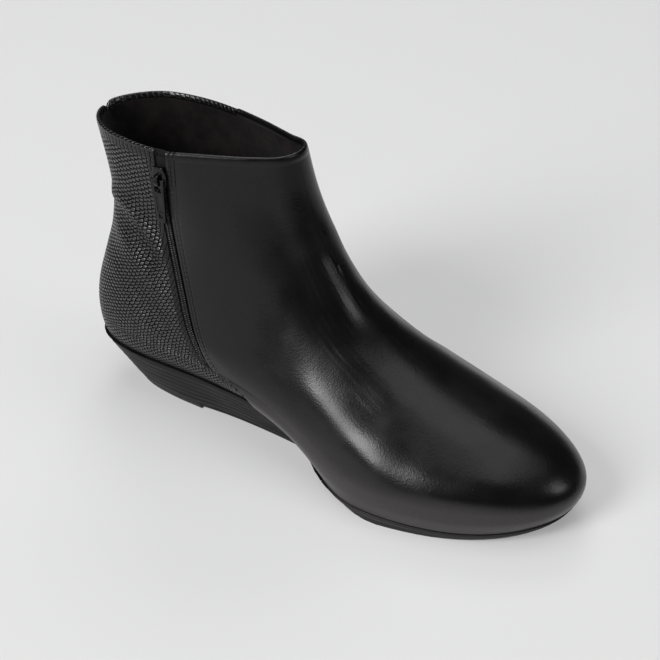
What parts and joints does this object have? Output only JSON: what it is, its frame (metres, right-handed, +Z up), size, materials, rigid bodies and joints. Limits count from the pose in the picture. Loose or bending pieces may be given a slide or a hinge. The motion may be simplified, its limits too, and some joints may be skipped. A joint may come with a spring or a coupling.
{
  "type": "wedge ankle boot",
  "caption": "Black leather ankle boot on a low ribbed wedge, scale-embossed back quarter, smooth vamp, side zip shut up to the collar.",
  "frame": {"origin": "on the floor under the middle of the boot's bounding box", "axes": "+X towards the toe, +Y towards the outer side of the foot, +Z up; the zip is on the -Y side"},
  "size_m": [0.2606, 0.0966, 0.1459],
  "materials": {
    "smooth_leather": "smooth black calf with a soft sheen and fine grain",
    "scale_leather": "black leather embossed with small reptile scales, glossy tops",
    "lining": "short dark fleece",
    "wedge_cover": "charcoal, fine stacked grooves",
    "sole_rubber": "dull black",
    "insole_sock": "dull dark brown",
    "zip_tape": "woven black tape",
    "zip_coil": "black nylon coil",
    "zip_metal": "black lacquer, polished",
    "thread": "waxed black thread"
  },
  "bodies": {
    "boot": {"upper": "smooth_leather", "wedge": "wedge_cover", "heel_lift": "sole_rubber", "outsole": "sole_rubber", "insole": "insole_sock", "zip_tape": "zip_tape", "zip_coil": "zip_coil", "zip_guard": "smooth_leather", "zip_slider": "zip_metal"},
    "pull": {"zip_pull": "zip_metal"}
  },
  "joints": [
    {"name": "pull_swing", "type": "hinge", "parent": "boot", "child": "pull", "pos_m": [-0.06828, -0.02965, 0.13231], "axis": [-0.9999, 0.009, -0.0098], "range_deg": [0, 150]}
  ]
}
